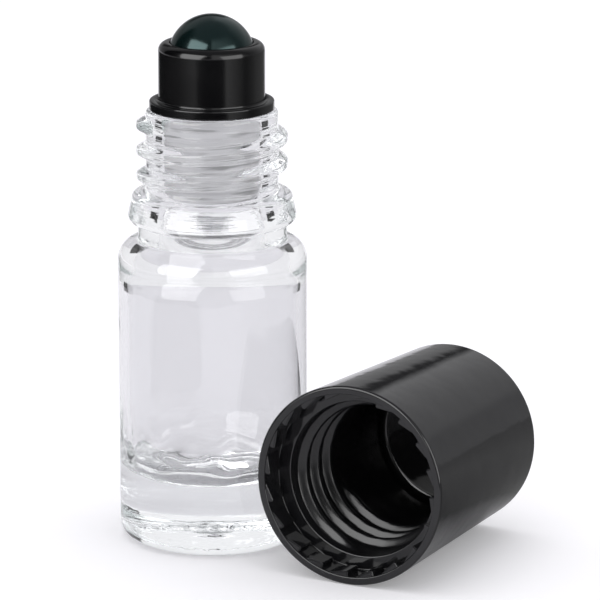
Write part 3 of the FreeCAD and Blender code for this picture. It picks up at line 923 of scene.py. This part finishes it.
def ratchet_tooth(count):
    """One saw tooth of the cap's mouth, with a short and a long flank, rounded edges and its root sunk in
    the wall."""
    tip_r = 10.1
    sunk = 0.3
    low_z = 0.15
    high_z = 3.05
    edge_round = 0.12
    share = 0.9
    sweep = math.radians(share * 360 / count)
    tip = Vector((tip_r, 0, 0))
    root = Vector((CAP_RIM_R + sunk, 0, 0))
    back = root.length * Vector((math.cos(sweep), math.sin(sweep), 0))
    mesh = bpy.data.meshes.new("ratchet_tooth")
    build = bmesh.new()
    low, high = [
        [build.verts.new((corner + Vector((0, 0, z))) * MM) for corner in (tip, root, back)]
        for z in (low_z, high_z)
    ]
    build.faces.new(low)
    build.faces.new(high)
    for i in range(3):
        j = (i + 1) % 3
        build.faces.new((low[i], low[j], high[j], high[i]))
    bmesh.ops.recalc_face_normals(build, faces=build.faces)
    bmesh.ops.bevel(build, geom=build.edges, offset=edge_round * MM, segments=3, affect="EDGES")
    build.to_mesh(mesh)
    build.free()
    return mesh


class ROLLON_OT_screw_cap(bpy.types.Operator):
    """Build the lying screw cap with its inner thread, seal ring and ratchet teeth"""

    bl_idname = "rollon.screw_cap"
    bl_label = "Screw cap"

    def execute(self, context):
        look = context.scene.rollon_cap
        mouth_round = 0.15
        edge_round = 0.3
        top_round = 0.9
        ceiling = CAP_HEIGHT - 1.5
        side_top = CAP_HEIGHT - top_round
        side_top_r = CAP_MOUTH_R - CAP_TAPER * side_top
        # mouth, side, closed end, ceiling with its seal ring, threaded bore and rim
        corners = [
            (CAP_RIM_R + mouth_round, 0, None),
            (CAP_MOUTH_R - edge_round, 0, edge_round),
            (CAP_MOUTH_R - CAP_TAPER * edge_round, edge_round, None),
            (side_top_r, side_top, top_round),
            (side_top_r - top_round, CAP_HEIGHT, None),
            (0, CAP_HEIGHT, None),
            (0, ceiling, None),
            (2.6, ceiling, None),
            (2.6, 24.45, -0.1),
            (2.7, 24.35, None),
            (3.4, 24.35, -0.1),
            (3.5, 24.45, None),
            (3.5, ceiling, None),
            (7.9, ceiling, -0.8),
            (8.7, ceiling - 0.8, None, 0.8),
            (8.9, 18.0, None, 0.13),
            (9.15, 3.75, 0.15),
            (9.3, 3.6, None),
            (CAP_RIM_R, 3.6, None),
            (CAP_RIM_R, mouth_round, mouth_round),
        ]
        mesh = turned_mesh("screw_cap", section_points(corners), AROUND)
        # the bore above the step of the rim
        mark_band(mesh, lambda p: 3.8 < p.z < 20 and 8.0 < math.hypot(p.x, p.y) < 9.2)
        material = gloss_black_polypropylene(
            "black_cap_polypropylene", look.colour, look.ripple, dullness=0.1)
        shell = grown("screw_cap", mesh, screw_thread_tree(), {
            "Pitch": context.scene.rollon_glass.thread_pitch,
            "Height": -look.thread_height,
            "Foot Width": 1.6 * MM,
            "Crest Width": 0.3 * MM,
            "Start Height": 5.2 * MM,
            "Start Angle": math.radians(90),
            "Turns": 3.2,
            "Run-out": 0.08,
            "Material": material,
        })
        shell.transform(laid_down())
        add_piece("screw_cap_shell", shell, "cap", material, "screw_cap")

        inputs = {"Count": look.tooth_count, "Material": material}
        teeth = grown("ratchet_teeth", ratchet_tooth(look.tooth_count), ring_of_teeth_tree(), inputs)
        teeth.set_sharp_from_angle(angle=math.radians(35))
        teeth.transform(laid_down())
        add_piece("cap_ratchet_teeth", teeth, "cap", material)
        return {"FINISHED"}


RAYS = ("camera", "diffuse", "glossy", "transmission", "volume_scatter", "shadow")


def add_to_studio(name, build, material, rays=RAYS):
    """Puts a finished shape in the scene as a piece of the studio that the named kinds of ray alone see."""
    mesh = bpy.data.meshes.new(name)
    build.to_mesh(mesh)
    build.free()
    mesh.materials.append(material)
    item = bpy.data.objects.new(name, mesh)
    bpy.context.scene.collection.objects.link(item)
    for ray in RAYS:
        setattr(item, f"visible_{ray}", ray in rays)


def studio_bearing(azimuth, side):
    """The way round of what stands so many degrees to the right of the camera."""
    return azimuth - math.pi / 2 + math.radians(side)


def cloth_shape(azimuth):
    """A flat band on the floor round the front and sides of the bottle. On the cap's side it comes close and
    goes on to the horizon."""
    lift = Vector((0, 0, 0.1))
    cap_side = 40
    build = bmesh.new()
    rows = []
    for side in range(-155, 160, 5):
        bearing = studio_bearing(azimuth, side)
        way = Vector((math.cos(bearing), math.sin(bearing), 0))
        reaches = (130, 500) if side < cap_side else (25, 2900)
        rows.append([build.verts.new((way * reach + lift) * MM) for reach in reaches])
    for first, second in zip(rows, rows[1:]):
        build.faces.new((first[0], first[1], second[1], second[0]))
    return build


def card_shape(bearing, rise, distance, lift, width, height):
    """A flat card that faces the bottle from a way round, raised by an angle and then lifted in its plane."""
    turn = Matrix.Rotation(bearing, 3, "Z") @ Matrix.Rotation(-math.radians(rise), 3, "Y")
    ends = ((-1, -1), (1, -1), (1, 1), (-1, 1))
    corners = [(distance, across * width / 2, lift + up * height / 2) for across, up in ends]
    build = bmesh.new()
    build.faces.new([build.verts.new(turn @ Vector(corner) * MM) for corner in corners])
    return build


class ROLLON_OT_stage(bpy.types.Operator):
    """Set the camera, the pale floor and the soft studio light"""

    bl_idname = "rollon.stage"
    bl_label = "Stage"

    def execute(self, context):
        scene = context.scene
        look = scene.rollon_stage
        scene.view_settings.view_transform = "Standard"
        # light in thick glass is thrown to and fro more often than the default follows it
        scene.cycles.max_bounces = 64
        scene.cycles.glossy_bounces = 48
        scene.cycles.transmission_bounces = 64

        lens = bpy.data.cameras.new("camera")
        lens.sensor_width = 36.0
        lens.lens = look.lens
        lens.clip_start = 10 * MM
        lens.clip_end = 20.0
        camera = bpy.data.objects.new("camera", lens)
        scene.collection.objects.link(camera)
        around = Vector((math.sin(look.azimuth), -math.cos(look.azimuth), 0))
        camera.location = around * look.distance + Vector((0, 0, look.height))
        camera.rotation_euler = (math.pi / 2 - look.tilt, 0, look.azimuth - look.pan)
        scene.camera = camera

        floor = bmesh.new()
        bmesh.ops.create_grid(floor, x_segments=8, y_segments=8, size=3.0)
        # a hair under the pieces, so that no two faces share a plane
        drop = 0.03 * MM
        bmesh.ops.translate(floor, verts=floor.verts, vec=(0, 0, -drop))
        add_to_studio("floor", floor, white_paper(look.floor_colour))
        add_to_studio("front_cloth", cloth_shape(look.azimuth), dark_cloth(look.azimuth), ["glossy"])

        scene.world = studio_world(look.azimuth)
        # degrees to the right of the camera and up, distance, lift, width, height, light and who sees it
        cards = [
            ("softbox_left", -46, 26, 600, 0, 540, 580, 4.5, ["glossy", "transmission"]),
            ("softbox_right", 46, 19, 600, 0, 520, 410, 3.4, ["glossy", "transmission"]),
            ("flag_left", -130, 0, 128, 29, 54, 38, 0.02, ["transmission"]),
            ("flag_right", 130, 0, 128, 29, 54, 38, 0.02, ["transmission"]),
        ]
        for name, side, rise, distance, lift, width, height, level, rays in cards:
            bearing = studio_bearing(look.azimuth, side)
            shape = card_shape(bearing, rise, distance, lift, width, height)
            add_to_studio(name, shape, studio_card(name, level), rays)

        top = bpy.data.lights.new("soft_top", "AREA")
        top.size = 0.8
        top.energy = 1.5
        lamp = bpy.data.objects.new("soft_top", top)
        lamp.location = (0, 0, 0.9)
        lamp.visible_camera = False
        lamp.visible_glossy = False
        scene.collection.objects.link(lamp)
        return {"FINISHED"}


class ROLLON_PT_sidebar(bpy.types.Panel):
    """Lists the pieces and what can be changed"""

    bl_idname = "ROLLON_PT_sidebar"
    bl_label = "Roll-on bottle"
    bl_space_type = "VIEW_3D"
    bl_region_type = "UI"
    bl_category = "Roll-on"

    def draw(self, context):
        layout = self.layout
        for operator in OPERATORS:
            layout.operator(operator.bl_idname)
        for name, group in GROUPS.items():
            box = layout.box()
            box.label(text=group.__doc__)
            for field in group.__annotations__:
                box.prop(getattr(context.scene, name), field)


GROUPS = {
    "rollon_glass": RollonGlassLook,
    "rollon_fitment": RollonFitmentLook,
    "rollon_cap": RollonCapLook,
    "rollon_stage": RollonStageLook,
}
OPERATORS = [
    ROLLON_OT_glass_bottle,
    ROLLON_OT_plug,
    ROLLON_OT_ball_cage,
    ROLLON_OT_roller_ball,
    ROLLON_OT_screw_cap,
    ROLLON_OT_stage,
]


def register():
    for item in list(GROUPS.values()) + OPERATORS + [ROLLON_PT_sidebar]:
        bpy.utils.register_class(item)
    for name, group in GROUPS.items():
        setattr(bpy.types.Scene, name, bpy.props.PointerProperty(type=group))


def unregister():
    for name in GROUPS:
        delattr(bpy.types.Scene, name)
    for item in reversed(list(GROUPS.values()) + OPERATORS + [ROLLON_PT_sidebar]):
        bpy.utils.unregister_class(item)


def main():
    register()
    bpy.ops.rollon.glass_bottle()
    bpy.ops.rollon.plug()
    bpy.ops.rollon.ball_cage()
    bpy.ops.rollon.roller_ball()
    bpy.ops.rollon.screw_cap()
    bpy.ops.rollon.stage()


if __name__ == "__main__":
    main()
